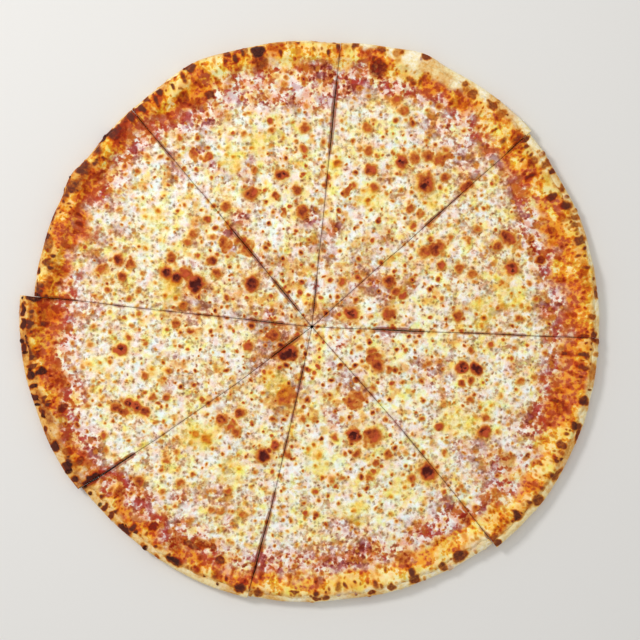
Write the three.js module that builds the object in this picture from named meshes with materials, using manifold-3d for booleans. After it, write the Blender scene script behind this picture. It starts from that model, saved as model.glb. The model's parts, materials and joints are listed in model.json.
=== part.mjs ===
// Cheese pizza: a thin round of baked dough with a low puffed rim, tomato sauce and melted cheese,
// cut into eight slices that still lie together.
//
// Millimetres, +Z up. The pizza rests on Z = 0 with its middle over the origin; +X is 3 o'clock and
// +Y is 12 o'clock as it is seen from above. Each layer is turned round the middle, given the uneven
// rim of the slice it is for, and parted from its neighbours along two strokes of a cutter.

import * as THREE from "three";
import { mergeVertices } from "three/addons/utils/BufferGeometryUtils.js";
import Module from "manifold-3d";

const wasm = await Module();
wasm.setup();

// ---- driving dimensions ----

const PIZZA_RADIUS = 203; // a 16 inch pizza
const BASE_THICKNESS = 4; // dough under the sauce
const SAUCE_THICKNESS = 0.9;
const CHEESE_THICKNESS = 2.6;
const LAYER_GAP = 0.3; // clearance between touching layers

const RIM_HEIGHT = 12.4; // top of the puffed rim
const RIM_CREST = 8; // from the outer edge in to the rim's crest
const RIM_SLOPE = 8; // how far the crest takes to fall to the base, inwards

const SAUCE_EDGE = 15; // bare rim outside the sauce
const CHEESE_EDGE = 6; // bare rim outside the cheese
const CHEESE_EDGE_THICKNESS = 0.8;
const CHEESE_TAPER = 24; // from its thin edge in to its full thickness
const CHEESE_STEP_DOWN = { from: 1, to: 5 }; // outside the sauce's edge it comes down to the dough
const CHEESE_EDGE_WOBBLE = 1.7; // how far the melted edge runs in and out
const WOBBLE_DEPTH = 2; // how far in from the edge the wobble reaches

const CUT_CROSSING = new THREE.Vector2(0.7, -3.5); // where the strokes meet, off the middle
const CUT_WIDTH = 0.8;
const CUT_REACH = 234; // from the crossing to well past the rim
const CUT_STEPS = 6;

const SEGMENTS = 88; // steps round the pizza
const RIM_STEPS = 6; // steps from the underside round to the crest
const CHEESE_STEPS = 16; // steps across the cheese inside the rim
const DEGREE = Math.PI / 180;

// The eight cuts, counterclockwise from 3 o'clock. bow is how far a stroke strays to its left halfway
// out. rim is the pizza's reach past PIZZA_RADIUS on the slice that starts at that cut: at the cut,
// in the slice's middle and at its other side. Slices that slid apart leave steps in the outline.
const CUTS = [
  { angle: -2.3, bow: 0, rim: [2.2, 1.8, 2.1] },
  { angle: 41.7, bow: 0, rim: [4.5, 2.0, -3.3] },
  { angle: 84.2, bow: 0, rim: [-3.7, -3.0, -6.0] },
  { angle: 129.8, bow: -0.8, rim: [-5.8, -5.2, -5.0] },
  { angle: 173.7, bow: 0, rim: [5.0, 2.9, 0.9] },
  { angle: 214.4, bow: 3.5, rim: [-1.9, -2.6, -1.2] },
  { angle: 256.2, bow: 2.4, rim: [-2.8, -3.6, 1.0] },
  { angle: 309.7, bow: 2.4, rim: [5.2, 4.4, 1.6] },
];

// Single puffs of the rim: where, how far each pushes the outline out, and its half width in degrees.
const RIM_PUFFS = [
  { angle: 67.5, reach: 3.5, width: 4.5 },
  { angle: 114, reach: 3.3, width: 7 },
  { angle: 148.5, reach: 2.8, width: 3.5 },
];

// Waves that make the whole rim lumpy: how many go round, and where each starts, in degrees.
const RIM_WAVES = [
  { count: 9, start: 20 },
  { count: 13, start: 200 },
  { count: 19, start: 75 },
];
const RIM_LUMP = 0.8; // how far a lump pushes the outline out
const RIM_RISE = 0.13; // share of the rim's height that a lump adds
const RISE_LAG = 10; // degrees by which the high places trail the wide ones

// Waves that make the cheese uneven: the length of each in mm and the way it runs, in degrees.
const CHEESE_WAVES = [
  { length: 41, heading: 15 },
  { length: 34, heading: 80 },
  { length: 37, heading: 140 },
];
const CHEESE_SWELL = 0.55;

// ---- the forms shared by the layers ----

const smooth = (low, high, x) => THREE.MathUtils.smoothstep(x, low, high);
const direction = (degrees) => new THREE.Vector2(Math.cos(degrees * DEGREE), Math.sin(degrees * DEGREE));

// The signed turn in degrees from one direction to another, -180 to 180.
const turnBetween = (from, to) => THREE.MathUtils.euclideanModulo(to - from + 180, 360) - 180;

// How many degrees a slice spans, and the direction of its middle.
function spanOf(index) {
  const start = CUTS[index].angle;
  const span = THREE.MathUtils.euclideanModulo(CUTS[(index + 1) % CUTS.length].angle - start, 360);
  return { span, middle: start + span / 2 };
}

// A sum of waves round the pizza, -1 to 1.
const lumps = (degrees) =>
  RIM_WAVES.reduce((sum, { count, start }) => sum + Math.sin((count * degrees + start) * DEGREE), 0) /
  RIM_WAVES.length;

// A slice's radius in a direction: a parabola through its three reaches, the lumps and the puffs.
function outline(index, degrees) {
  const { span, middle } = spanOf(index);
  const edge = direction(degrees).multiplyScalar(PIZZA_RADIUS).sub(CUT_CROSSING);
  const share = 0.5 + turnBetween(middle, edge.angle() / DEGREE) / span;
  const [first, half, last] = CUTS[index].rim;
  const ends = (first * (1 - share) - last * share) * (1 - 2 * share);
  const puffs = RIM_PUFFS.reduce(
    (sum, puff) => sum + puff.reach * Math.exp(-((turnBetween(puff.angle, degrees) / puff.width) ** 2)),
    0,
  );
  return PIZZA_RADIUS + ends + 4 * half * share * (1 - share) + RIM_LUMP * lumps(degrees) + puffs;
}

// Height of the dough's upper side, a distance in from the outer edge: half an ellipse up to the
// crest, then a slope that falls to the base.
const doughTop = (inset) =>
  inset < RIM_CREST
    ? (RIM_HEIGHT / 2) * (1 + Math.sqrt(1 - ((RIM_CREST - inset) / RIM_CREST) ** 2))
    : BASE_THICKNESS + (RIM_HEIGHT - BASE_THICKNESS) * Math.exp(-(((inset - RIM_CREST) / RIM_SLOPE) ** 2));

const sauceUnderside = (inset) => doughTop(inset) + LAYER_GAP;
const sauceTop = (inset) => sauceUnderside(inset) + SAUCE_THICKNESS;

// The cheese lies on the sauce, and outside the sauce's edge on the dough.
function cheeseUnderside(inset) {
  const onSauce = smooth(SAUCE_EDGE - CHEESE_STEP_DOWN.to, SAUCE_EDGE - CHEESE_STEP_DOWN.from, inset);
  return doughTop(inset) + LAYER_GAP + (SAUCE_THICKNESS + LAYER_GAP) * onSauce;
}

function cheeseTop(inset) {
  const fullness = smooth(CHEESE_EDGE, CHEESE_EDGE + CHEESE_TAPER, inset);
  return cheeseUnderside(inset) + THREE.MathUtils.lerp(CHEESE_EDGE_THICKNESS, CHEESE_THICKNESS, fullness);
}

const cheeseSwell = (x, y) =>
  CHEESE_WAVES.reduce((sum, { length, heading }) => {
    const along = new THREE.Vector2(x, y).dot(direction(heading));
    return sum + Math.sin((2 * Math.PI * along) / length);
  }, 0) / CHEESE_WAVES.length;

// ---- the layers' sections, which are turned round the middle ----

const point = (inset, height) => new THREE.Vector2(Math.max(PIZZA_RADIUS - inset, 0), height);

// Distances in from the outer edge at which every layer has a ring of points, so that touching
// layers have like facets. They lie close together on the rim.
const RIM_STATIONS = [CHEESE_EDGE, RIM_CREST, 11.5, SAUCE_EDGE, 19, 26];
const RIM_END = RIM_STATIONS.at(-1);

// The rings of a layer that reaches out to an edge, from there in to the middle.
function stations(edge, innerSteps) {
  const step = (PIZZA_RADIUS - RIM_END) / innerSteps;
  const inner = Array.from({ length: innerSteps }, (_, i) => RIM_END + step * (i + 1));
  return [...RIM_STATIONS.filter((inset) => inset >= edge), ...inner];
}

// A flat layer's section: out along its underside from the middle, and back along its top.
function layerSection(edge, under, over, topSteps) {
  const underside = stations(edge, 1).map((inset) => point(inset, under(inset)));
  const top = stations(edge, topSteps).map((inset) => point(inset, over(inset)));
  return [...underside.reverse(), ...top];
}

// The dough's section: its outer half is half an ellipse, from the flat underside to the crest.
function doughSection() {
  const around = Array.from({ length: RIM_STEPS }, (_, i) => {
    const turn = Math.PI * (i / RIM_STEPS - 0.5);
    return point(RIM_CREST * (1 - Math.cos(turn)), (RIM_HEIGHT / 2) * (1 + Math.sin(turn)));
  });
  const top = stations(RIM_CREST, 1);
  return [point(PIZZA_RADIUS, 0), ...around, ...top.map((inset) => point(inset, doughTop(inset)))];
}

const matte = (color, roughness) => new THREE.MeshStandardMaterial({ color, roughness, metalness: 0 });

const layers = [
  { name: "crust", section: doughSection(), material: matte(0xe3bf82, 0.85) },
  {
    name: "sauce",
    section: layerSection(SAUCE_EDGE, sauceUnderside, sauceTop, 1),
    material: matte(0xb8341a, 0.5),
  },
  {
    name: "cheese",
    section: layerSection(CHEESE_EDGE, cheeseUnderside, cheeseTop, CHEESE_STEPS),
    material: matte(0xf2d993, 0.45),
    wobble: CHEESE_EDGE_WOBBLE,
    swell: CHEESE_SWELL,
  },
];

// ---- a layer of one slice ----

function solid(geometry) {
  geometry.deleteAttribute("normal");
  geometry.deleteAttribute("uv");
  const merged = mergeVertices(geometry, 1e-3);
  return new wasm.Manifold(
    new wasm.Mesh({
      numProp: 3,
      vertProperties: new Float32Array(merged.getAttribute("position").array),
      triVerts: new Uint32Array(merged.index.array),
    }),
  );
}

// Turns a section round the middle and gives it the outline and the lumpy rim of one slice. A layer
// that wobbles runs in and out at its edge, and follows the dough's slope there.
function turned({ section, wobble = 0, swell = 0 }, index) {
  const geometry = new THREE.LatheGeometry(section, SEGMENTS).rotateX(Math.PI / 2);
  const edge = Math.max(...section.map((p) => p.x));
  const position = geometry.getAttribute("position");
  const at = new THREE.Vector3();
  for (let i = 0; i < position.count; i++) {
    at.fromBufferAttribute(position, i);
    const degrees = Math.atan2(at.y, at.x) / DEGREE;
    const radius = Math.hypot(at.x, at.y);
    const inset = PIZZA_RADIUS - radius;
    const run = wobble * lumps(2 * degrees) * smooth(edge - WOBBLE_DEPTH, edge, radius);
    const follow = wobble ? doughTop(inset - run) - doughTop(inset) : 0;
    const rise = 1 + RIM_RISE * lumps(degrees + RISE_LAG) * smooth(RIM_END, RIM_CREST, inset);
    const isTop = at.z > cheeseUnderside(inset) + CHEESE_EDGE_THICKNESS / 2;
    const lift = isTop ? swell * cheeseSwell(at.x, at.y) * smooth(SAUCE_EDGE, RIM_END, inset) : 0;
    const spread = ((1 + run / (radius || 1)) * outline(index, degrees)) / PIZZA_RADIUS;
    position.setXYZ(i, at.x * spread, at.y * spread, (at.z + follow) * rise + lift);
  }
  return solid(geometry);
}

// One side of a cut, from near the crossing to past the rim, half the cutter's width off its line.
function cutSide({ angle, bow }, side) {
  return Array.from({ length: CUT_STEPS }, (_, i) => {
    const share = (i + 1) / CUT_STEPS;
    return CUT_CROSSING.clone()
      .addScaledVector(direction(angle), share * CUT_REACH)
      .addScaledVector(direction(angle + 90), bow * Math.sin(Math.PI * share) + (side * CUT_WIDTH) / 2);
  });
}

// The space of one slice: a wedge between two cuts that is taller and wider than the pizza.
function wedge(index) {
  const { span, middle } = spanOf(index);
  const [from, to] = [CUTS[index], CUTS[(index + 1) % CUTS.length]];
  const tipDistance = CUT_WIDTH / 2 / Math.sin((span / 2) * DEGREE);
  const tip = direction(middle).multiplyScalar(tipDistance).add(CUT_CROSSING);
  const beyond = direction(middle).multiplyScalar(CUT_REACH / Math.cos((span / 2) * DEGREE));
  const shape = new THREE.Shape([tip, ...cutSide(from, 1), beyond, ...cutSide(to, -1).reverse()]);
  const prism = new THREE.ExtrudeGeometry(shape, { depth: 3 * RIM_HEIGHT, bevelEnabled: false });
  return solid(prism.translate(0, 0, -RIM_HEIGHT));
}

function meshOf(manifold, name, material) {
  const { vertProperties, triVerts } = manifold.getMesh();
  const geometry = new THREE.BufferGeometry();
  geometry.setAttribute("position", new THREE.BufferAttribute(vertProperties, 3));
  geometry.setIndex(new THREE.BufferAttribute(triVerts, 1));
  geometry.computeVertexNormals();
  const mesh = new THREE.Mesh(geometry, material);
  mesh.name = name;
  return mesh;
}

const pizza = new THREE.Group();
CUTS.forEach((_, index) => {
  const space = wedge(index);
  const slice = new THREE.Group();
  for (const layer of layers) {
    const piece = turned(layer, index).intersect(space);
    slice.add(meshOf(piece, `slice_${index + 1}_${layer.name}`, layer.material));
  }
  pizza.add(slice);
});

export default pizza;
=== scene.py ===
"""A cheese pizza: eight slices that still lie together, baked dark at the rim.

Every slice has three pieces, as it has in the frame: dough, sauce and cheese. They are worked out in
millimetres, from the middle of the pizza, and scaled to metres at the end. An angle is counted in
degrees, counterclockwise from 3 o'clock. An inset is a distance in from the dough's outer edge.
"""

import json

import bmesh
import bpy
import numpy as np
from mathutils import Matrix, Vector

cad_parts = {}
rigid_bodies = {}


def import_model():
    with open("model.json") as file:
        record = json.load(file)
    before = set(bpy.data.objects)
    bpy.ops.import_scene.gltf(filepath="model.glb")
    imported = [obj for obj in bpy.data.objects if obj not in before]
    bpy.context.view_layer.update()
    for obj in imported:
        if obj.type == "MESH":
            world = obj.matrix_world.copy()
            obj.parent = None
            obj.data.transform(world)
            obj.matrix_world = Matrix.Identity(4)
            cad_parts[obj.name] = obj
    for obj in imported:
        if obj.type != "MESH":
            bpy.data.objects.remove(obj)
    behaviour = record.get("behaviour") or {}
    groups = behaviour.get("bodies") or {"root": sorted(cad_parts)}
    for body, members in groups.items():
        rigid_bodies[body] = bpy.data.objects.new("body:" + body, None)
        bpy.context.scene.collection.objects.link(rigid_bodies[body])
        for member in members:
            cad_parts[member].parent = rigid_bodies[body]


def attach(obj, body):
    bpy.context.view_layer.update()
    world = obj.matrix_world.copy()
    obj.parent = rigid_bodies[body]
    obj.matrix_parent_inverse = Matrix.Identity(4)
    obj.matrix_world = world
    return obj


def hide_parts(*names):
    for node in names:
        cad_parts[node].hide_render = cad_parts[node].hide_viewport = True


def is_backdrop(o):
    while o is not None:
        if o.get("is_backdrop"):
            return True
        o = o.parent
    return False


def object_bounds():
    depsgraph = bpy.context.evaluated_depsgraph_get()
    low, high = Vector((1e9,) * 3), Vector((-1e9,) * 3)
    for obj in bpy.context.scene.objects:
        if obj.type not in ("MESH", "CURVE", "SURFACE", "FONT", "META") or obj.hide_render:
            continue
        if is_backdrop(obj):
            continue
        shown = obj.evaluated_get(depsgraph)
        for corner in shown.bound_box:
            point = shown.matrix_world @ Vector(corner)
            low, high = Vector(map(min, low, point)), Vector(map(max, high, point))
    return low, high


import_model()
CAD_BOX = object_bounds()
METRES = 0.001

# ---- the dough ----
# A thin round of wheat dough, stretched by hand, so its rim is lumpy and its outline uneven. It baked
# on hot stone: pale where flour lay, golden on the crest, charred in spots. The cutter went over it
# four times, and slices that slid apart leave small steps in the outline.

PIZZA_RADIUS = 203
BASE_THICKNESS = 4
RIM_HEIGHT = 12.4
RIM_CREST = 8
RIM_SLOPE = 8
RIM_INNER_END = 26
RIM_LUMP = 0.8
RIM_RISE = 0.13  # the share by which its height comes and goes
RISE_LAG = 10  # degrees from a bulge of the outline to the high place beside it
DOUGH_CEILING = 12.8  # the highest that a lump rises
TIP_CLEARANCE = 1.5  # between a tip and where the cuts cross
DOUGH_ACROSS = 300
DOUGH_ROWS = 60
HIDDEN_ROWS = 0.12  # share of the rows on the flat base, under the cheese
ROLL_FROM = 0.6  # share of the rows before the crest, where the rim starts to roll over

CUT_CROSSING = np.array([0.7, -3.5])
CUT_REACH = 234

# Each cut: its angle, how far it strays to its left halfway out, the slice's reach past
# PIZZA_RADIUS at the cut, in its middle and at its other side, and the stretches where the cut
# stands open, as (from, to, width) along the stroke.
CUTS = [
    {"angle": -2.3, "bow": 0, "rim": (2.2, 1.8, 2.1),
     "open": [(38, 84, 0.9), (90, 196, 0.35)]},
    {"angle": 41.7, "bow": 0, "rim": (4.5, 2.0, -3.3),
     "open": [(96, 166, 0.5), (180, 206, 0.6)]},
    {"angle": 84.2, "bow": 0, "rim": (-3.7, -3.0, -6.0),
     "open": [(6, 60, 0.5), (70, 120, 0.35), (116, 184, 0.75)]},
    {"angle": 129.8, "bow": -0.8, "rim": (-5.8, -5.2, -5.0),
     "open": [(10, 100, 0.55), (150, 200, 0.5)]},
    {"angle": 173.7, "bow": 0, "rim": (5.0, 2.9, 0.9),
     "open": [(14, 90, 0.5), (90, 165, 0.35), (160, 207, 0.6)]},
    {"angle": 214.4, "bow": 3.5, "rim": (-1.9, -2.6, -1.2),
     "open": [(6, 40, 0.7), (60, 140, 0.3), (150, 200, 1.0)]},
    {"angle": 256.2, "bow": 2.4, "rim": (-2.8, -3.6, 1.0),
     "open": [(20, 110, 0.4), (112, 188, 0.7)]},
    {"angle": 309.7, "bow": 2.4, "rim": (5.2, 4.4, 1.6),
     "open": [(40, 130, 0.35), (184, 207, 0.6)]},
]
CLOSED_CUT = 0.26  # where the cheese ran together again
RIM_PUFFS = [(67.5, 3.5, 4.5), (114, 3.3, 7), (148.5, 2.8, 3.5)]  # angle, reach, half width
RIM_WAVES = [(9, 20), (13, 200), (19, 75)]  # how many go round, and where each starts

chance = np.random.default_rng(7)
GRAIN = chance.random((6, 256, 256))


def smooth(low, high, x):
    """A soft step from 0 at low to 1 at high, which may lie either way round."""
    share = np.clip((x - low) / (high - low), 0, 1)
    return share * share * (3 - 2 * share)


def mottle(x, y, size, seed):
    """Smooth random patches of about that size, 0 to 1."""
    grain = GRAIN[seed % 6]
    u = x / size + 17.3 * seed
    v = y / size + 5.9 * seed
    i, j = np.floor(u).astype(int), np.floor(v).astype(int)
    fu, fv = smooth(0, 1, u - i), smooth(0, 1, v - j)
    left = grain[i & 255, j & 255] * (1 - fv) + grain[i & 255, (j + 1) & 255] * fv
    right = grain[(i + 1) & 255, j & 255] * (1 - fv) + grain[(i + 1) & 255, (j + 1) & 255] * fv
    return left * (1 - fu) + right * fu


def spots(x, y, size, seed, share, smallest=0.25, largest=0.55):
    """Round spots, one to a square of that size: how deep in its spot a point is, 0 to 1, and the
    spot's own random tone. share is how many of the squares have a spot."""
    i, j = np.floor(x / size).astype(int), np.floor(y / size).astype(int)
    depth, tone = np.zeros_like(x), np.zeros_like(x)
    for di in (-1, 0, 1):
        for dj in (-1, 0, 1):
            a, b = (i + di + 31 * seed) & 255, (j + dj + 57 * seed) & 255
            centre_x = (i + di + 0.15 + 0.7 * GRAIN[0, a, b]) * size
            centre_y = (j + dj + 0.15 + 0.7 * GRAIN[1, a, b]) * size
            radius = size * (smallest + (largest - smallest) * GRAIN[2, a, b] ** 2)
            inside = 1 - np.hypot(x - centre_x, y - centre_y) / radius
            inside = np.where(GRAIN[3, a, b] < share, inside, 0)
            tone = np.where(inside > depth, GRAIN[4, a, b], tone)
            depth = np.maximum(depth, inside)
    return depth, tone


def heading(degrees):
    """Steps of length 1 towards these angles."""
    return np.stack([np.cos(np.radians(degrees)), np.sin(np.radians(degrees))], axis=-1)


def turn_between(start, end):
    """The shorter turn from one angle to another."""
    return (end - start + 180) % 360 - 180


def span_of(number):
    """The angle of a slice's first cut, and the degrees from it to the next."""
    start = CUTS[number]["angle"]
    return start, (CUTS[(number + 1) % 8]["angle"] - start) % 360


def lumps(degrees):
    """How far the rim bulges at each angle, -1 to 1."""
    return sum(np.sin(np.radians(count * degrees + start)) for count, start in RIM_WAVES) / len(RIM_WAVES)


def outline(number, degrees):
    """The slice's outer radius: a parabola through its three reaches, the lumps and the puffs."""
    start, span = span_of(number)
    edge = heading(degrees) * PIZZA_RADIUS - CUT_CROSSING
    share = 0.5 + turn_between(start + span / 2, np.degrees(np.arctan2(edge[..., 1], edge[..., 0]))) / span
    first, half, last = CUTS[number]["rim"]
    ends = (first * (1 - share) - last * share) * (1 - 2 * share)
    puffs = np.zeros_like(degrees)
    for at, reach, width in RIM_PUFFS:
        puffs = puffs + reach * np.exp(-((turn_between(at, degrees) / width) ** 2))
    return PIZZA_RADIUS + ends + 4 * half * share * (1 - share) + RIM_LUMP * lumps(degrees) + puffs


def cut_width(cut, distance):
    """How wide the cut stands open, a distance along its stroke."""
    ragged = 0.35 + 1.1 * mottle(distance, 40.0 * CUTS.index(cut), 9, 2)
    width = np.full_like(distance, CLOSED_CUT)
    for start, end, most in cut["open"]:
        soft = min(9, 0.4 * (end - start))
        share = smooth(start, start + soft, distance) * (1 - smooth(end - soft, end, distance))
        width = np.maximum(width, most * share * ragged)
    return width


def spread_out(number, across, distance):
    """Points of a slice from a share across it, 0 to 1, and a distance from where the cuts cross."""
    start, span = span_of(number)
    cuts = (CUTS[number], CUTS[(number + 1) % 8])
    bow = cuts[0]["bow"] * (1 - across) + cuts[1]["bow"] * across
    angle = start + span * across
    stray = bow * np.sin(np.pi * distance / CUT_REACH)
    points = CUT_CROSSING + heading(angle) * distance[..., None] + heading(angle + 90) * stray[..., None]
    for cut, side, share in ((cuts[0], 1, 1 - across), (cuts[1], -1, across)):
        wander = 0.5 * (mottle(distance, 90.0 * cut["angle"], 22, 3) - 0.5)
        shift = wander + side * cut_width(cut, distance) / 2
        points = points + heading(cut["angle"] + 90) * (shift * share)[..., None]
    return points


def reach_at(number, across, inset):
    """The distance from where the cuts cross out to an inset."""
    start, span = span_of(number)
    out = heading(start + span * across)
    distance = np.full_like(across, PIZZA_RADIUS)
    for _ in range(3):
        at = CUT_CROSSING + out * distance[..., None]
        degrees = np.degrees(np.arctan2(at[..., 1], at[..., 0]))
        radius = outline(number, degrees) * (1 - inset / PIZZA_RADIUS)
        distance = distance + radius - np.hypot(at[..., 0], at[..., 1])
    return distance


def inset_of(number, x, y):
    """The inset of a slice's points, and their angle."""
    degrees = np.degrees(np.arctan2(y, x))
    return PIZZA_RADIUS * (1 - np.hypot(x, y) / outline(number, degrees)), degrees % 360


def dough_top(inset):
    """The dough's height at an inset, before rim_rise."""
    shoulder = 1 - (np.clip(RIM_CREST - inset, 0, RIM_CREST) / RIM_CREST) ** 2
    slope = np.exp(-((np.maximum(inset - RIM_CREST, 0) / RIM_SLOPE) ** 2))
    inner = BASE_THICKNESS + (RIM_HEIGHT - BASE_THICKNESS) * slope
    return np.where(inset < RIM_CREST, RIM_HEIGHT / 2 * (1 + np.sqrt(shoulder)), inner)


def held_under(ceiling, height):
    """Heights that flatten off over the last stretch below a ceiling."""
    stretch = 1.2
    start = ceiling - stretch
    return np.where(height > start, start + stretch * np.tanh((height - start) / stretch), height)


def rim_rise(inset, degrees):
    """How many times its usual height the rim has."""
    return 1 + RIM_RISE * lumps(degrees + RISE_LAG) * smooth(RIM_INNER_END, RIM_CREST, inset)


# Round the rim: how far in the bare dough shows, the golden baked band goes, and the lace of thin
# cheese over sauce goes, in mm at each angle, how charred the edge is, and how red the golden band is.
ROUND_THE_RIM = [  # angle, bare, golden, lace, charred, red
    (0, 7, 24, 36, 0.2, 0.4), (10, 4, 31, 42, 0.25, 0.3), (25, 7, 26, 44, 0.3, 0.4),
    (40, 9, 25, 35, 0.2, 0.3), (50, 8, 29, 36, 0.15, 0.4), (60, 12, 27, 37, 0.1, 0.5),
    (68, 16, 27, 40, 0.1, 0.7), (75, 5, 20, 40, 0.2, 0.6), (85, 2, 17, 50, 0.2, 0.4),
    (97, 2, 17, 57, 0.25, 0.6), (108, 2, 20, 52, 0.2, 0.55), (116, 3, 30, 44, 0.15, 0.5),
    (126, 3, 20, 38, 0.6, 0.9), (137, 3, 18, 34, 1.0, 0.5), (150, 3, 24, 30, 1.05, 0.4),
    (163, 3, 24, 28, 1.05, 0.45), (172, 4, 26, 30, 0.9, 0.55), (178, 7, 32, 38, 1.0, 0.75),
    (190, 9, 24, 36, 1.0, 0.6), (203, 11, 17, 32, 1.0, 0.6), (215, 10, 15, 32, 0.95, 0.75),
    (228, 9, 14, 33, 0.9, 0.75), (243, 8, 21, 35, 0.65, 0.95), (257, 8, 19, 36, 0.4, 0.6),
    (270, 6, 20, 40, 0.2, 0.05), (285, 7, 22, 41, 0.1, 0.05), (297, 7, 25, 45, 0.15, 0.35),
    (307, 11, 27, 47, 0.2, 0.6), (313, 9, 22, 38, 0.5, 0.4), (325, 7, 26, 38, 0.5, 0.5),
    (338, 7, 30, 38, 0.45, 0.55), (350, 6, 26, 34, 0.3, 0.6),
]
BARE, GOLDEN, LACE, CHARRED, RED = range(1, 6)

# Browned marks round the rim: angle, distance from the middle, half width, half length, how dark.
RIM_MARKS = [
    (1, 198, 2, 3, 0.7), (6, 203, 4, 3, 0.8), (11, 196, 8, 3, 0.5), (17, 198, 3, 4, 0.8),
    (20, 198, 2, 4, 0.7), (21.5, 201, 2, 3, 0.7), (22.5, 192, 3, 3, 0.6), (24.5, 198, 3, 4, 0.9),
    (28, 202, 3, 3, 0.7), (27.5, 192, 2.5, 3.5, 0.9), (32, 201, 2, 3, 0.9), (34, 201, 3, 5, 0.7),
    (36, 193, 3, 5, 0.65), (40.6, 198, 2, 4, 0.9), (42.5, 196, 1.5, 5, 0.6), (20.5, 182, 3, 2.5, 0.6),
    (15, 168, 2.5, 2.5, 0.7), (20, 165, 2, 2, 0.65), (18, 164, 3, 3, 0.55), (47.5, 198, 2.5, 5, 0.6),
    (50, 199, 4, 3, 0.75), (54.5, 197, 3, 4, 0.7), (57, 200, 2, 2.5, 0.75), (56, 187, 4, 4, 0.5),
    (66.5, 205, 3, 3, 0.8), (67, 185, 4, 2.5, 0.65), (72, 200, 3, 4, 0.55), (75.5, 199, 3, 3, 0.7),
    (75, 185, 6, 6, 0.75), (81, 198, 2.5, 4, 0.8), (85.5, 176, 2.5, 3, 0.55), (97, 196, 6, 4, 0.55),
    (101, 194, 5, 4, 1), (101, 187, 5, 5, 0.7), (104, 197, 3, 2, 0.65), (107.5, 198, 2.5, 3, 0.8),
    (115.5, 198, 3.5, 3.5, 0.9), (119.5, 181, 4, 5, 0.65), (114, 176, 3.5, 3, 0.85),
    (118, 175, 5, 3, 0.6), (126.5, 196, 2, 3, 0.85), (130.5, 193, 3, 3.5, 0.75), (131, 198, 3, 1.5, 1),
    (137, 196, 3.5, 2, 1), (139, 196, 3, 2, 1), (142, 198, 3, 1.5, 0.95), (145, 195, 2.5, 3, 0.8),
    (148, 200, 2, 1, 0.95), (150.5, 197, 2, 1.5, 0.8), (158, 198, 4, 2, 1), (162, 196, 2.5, 3, 0.85),
    (163.5, 193, 6, 3.5, 0.7), (167.5, 191, 3, 3.5, 0.8), (169.5, 196, 3, 2, 1),
    (171.5, 187, 4, 3, 0.65), (168.5, 183, 3.5, 6, 0.6), (144, 181, 10, 1.5, 0.55),
    (175, 196, 3, 5.5, 0.9), (177.5, 203, 4, 1.5, 0.95), (178, 186, 6, 8, 0.5), (180.5, 203, 3.5, 2, 1),
    (185, 203, 3, 2, 0.95), (187, 196, 3, 3.5, 0.7), (189, 199, 1.5, 3.5, 0.8), (190.5, 201, 3, 3.5, 1),
    (190.5, 193, 3, 4, 0.9), (193, 201, 2.5, 3.5, 0.95), (195, 203, 2, 3, 1), (196, 196, 3, 2, 0.8),
    (198.5, 200, 4, 1.5, 0.8), (202, 202, 2, 2, 0.9), (206, 201, 3.5, 3.5, 1), (208, 195, 3, 3, 0.65),
    (210.5, 201, 3.5, 4, 1), (211, 191, 3, 4, 0.7), (213.5, 201, 2.5, 3.5, 1), (215.5, 204, 3, 1.5, 1),
    (215.5, 191, 3, 6, 1), (222, 196, 2, 3, 0.9), (224, 197, 2, 3, 0.9), (199, 186, 3, 3, 0.75),
    (193, 183, 5.5, 6, 0.5), (221.5, 181, 3.5, 3.5, 0.6), (228, 198, 6, 3, 1), (233, 198, 2, 3.5, 0.6),
    (236.5, 198, 2, 2, 0.6), (240, 194, 6, 2.5, 0.9), (232.5, 183, 3.5, 3.5, 0.7),
    (238.5, 184, 5.5, 5, 0.55), (242, 179, 7, 2, 0.7), (244, 174, 6, 3, 0.6), (249, 181, 3, 3, 0.8),
    (246.5, 174, 2, 3, 0.7), (255, 194, 3.5, 4, 0.9), (259, 195, 4, 3.5, 0.75),
    (266.5, 191, 3, 1.5, 0.8), (271, 195, 3, 2, 0.8), (273, 195, 3, 2, 0.8), (283, 196, 2.5, 2, 0.8),
    (287, 195, 2.5, 3, 0.75), (292, 195, 3.5, 3.5, 0.8), (298.5, 196, 3, 3, 0.8),
    (302.5, 196, 5.5, 4, 0.9), (310, 204, 3, 3, 0.85), (310.5, 199, 4, 2, 0.7),
    (292, 179, 5.5, 3.5, 0.55), (308, 177, 4, 4, 0.55), (317, 199, 3, 4, 0.9), (322, 203, 4, 5, 0.8),
    (328, 205, 5, 2, 0.75), (334, 196, 3, 4, 0.8), (337, 205, 5, 2, 0.9), (338.5, 201, 2.5, 5, 0.9),
    (344, 200, 3, 4, 0.9), (350, 203, 5.5, 3.5, 0.5), (353, 196, 2.5, 2, 0.8), (357, 200, 3, 2, 0.85),
    (357, 193, 1.5, 4, 0.75), (341, 187, 5.5, 3.5, 0.6), (328, 180, 3.5, 2, 0.65),
    (325, 170, 5, 5, 0.45),
]


def marked(x, y, places):
    """How deep in a mark each point is: 0 outside them all, and as deep as each mark is strong."""
    deep = np.zeros_like(x)
    stray_x = 2.4 * (mottle(x, y, 4, 1) - 0.5) + 1.2 * (mottle(x, y, 1.9, 2) - 0.5)
    stray_y = 2.4 * (mottle(x, y, 4, 3) - 0.5) + 1.2 * (mottle(x, y, 1.9, 4) - 0.5)
    for angle, distance, width, length, strong in places:
        out = heading(angle)
        off_x = x - distance * out[0]
        off_y = y - distance * out[1]
        close = np.flatnonzero(abs(off_x) + abs(off_y) < 2.4 * (width + length))
        off_x = off_x[close] + stray_x[close]
        off_y = off_y[close] + stray_y[close]
        outward = (off_x * out[0] + off_y * out[1]) / length
        sideways = (off_y * out[0] - off_x * out[1]) / width
        share = np.hypot(outward, sideways)
        deep[close] = np.maximum(deep[close], strong * smooth(1.5, 0.75, share))
    return deep


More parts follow.
